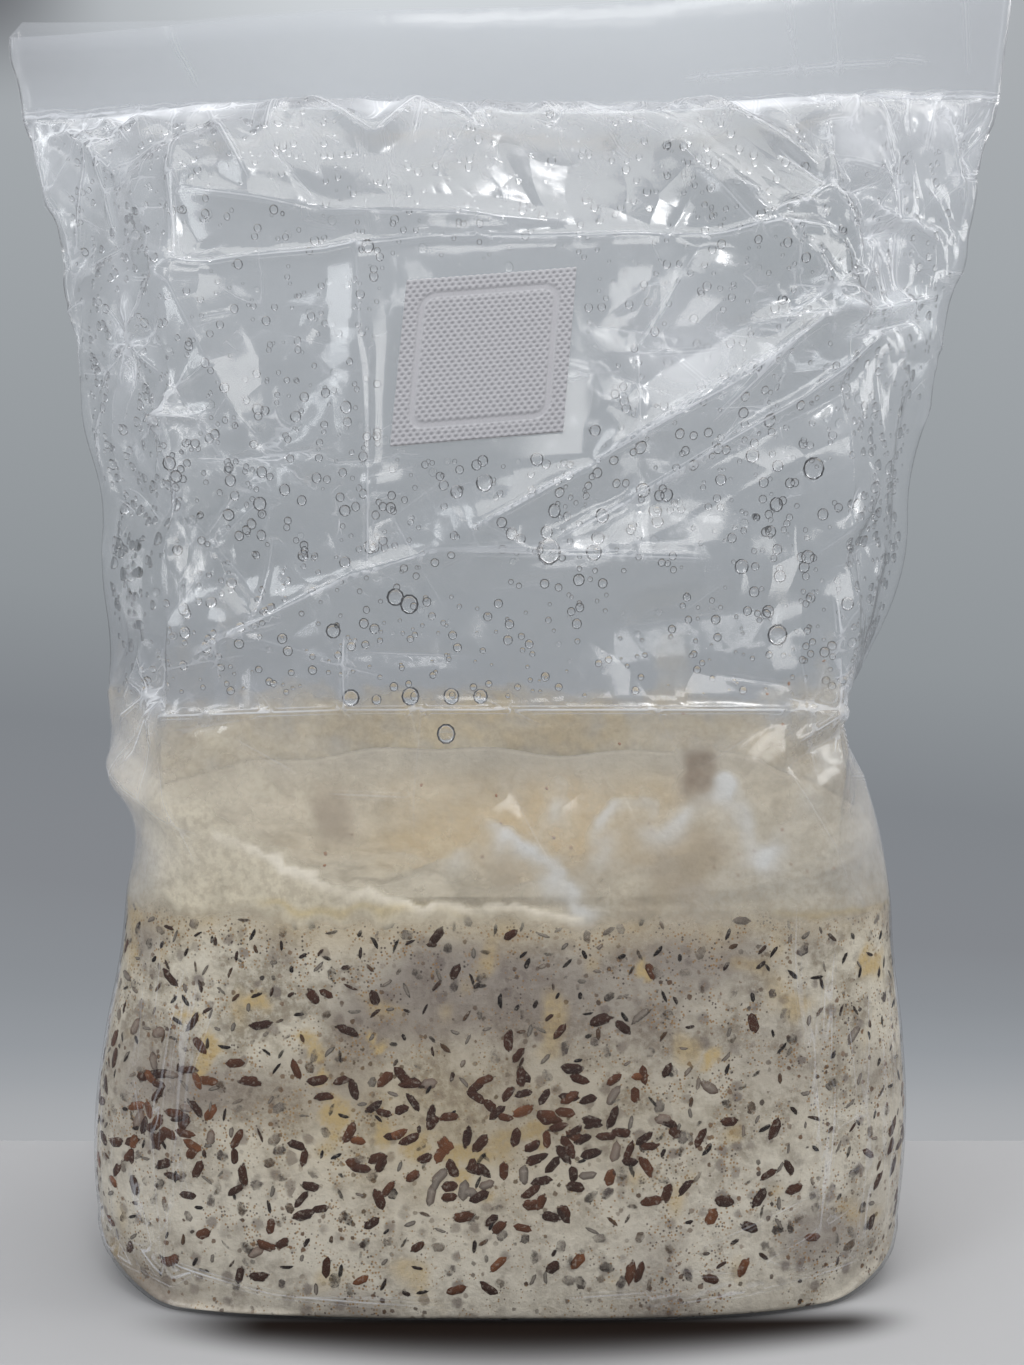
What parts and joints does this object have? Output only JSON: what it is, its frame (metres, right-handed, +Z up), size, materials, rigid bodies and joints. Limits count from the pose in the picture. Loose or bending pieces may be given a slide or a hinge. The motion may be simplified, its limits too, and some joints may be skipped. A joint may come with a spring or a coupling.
{
  "type": "mushroom grain spawn bag",
  "caption": "Clear gusseted film bag welded shut over a block of grain grown through with mycelium, with a square filter patch on its front.",
  "frame": {"origin": "middle of the folded bottom weld, on the plane that the bag stands on", "axes": "+Z up towards the mouth weld, -Y towards the front panel with the filter patch, +X to the right as seen from the front"},
  "size_m": [0.33, 0.106, 0.4183],
  "materials": {
    "clear_film": "gloss",
    "filter_nonwoven": "matte",
    "grain_and_mycelium": "matte"
  },
  "bodies": {
    "root": {"film_bag": "clear_film", "filter_patch": "filter_nonwoven", "grain_block": "grain_and_mycelium"}
  },
  "joints": []
}
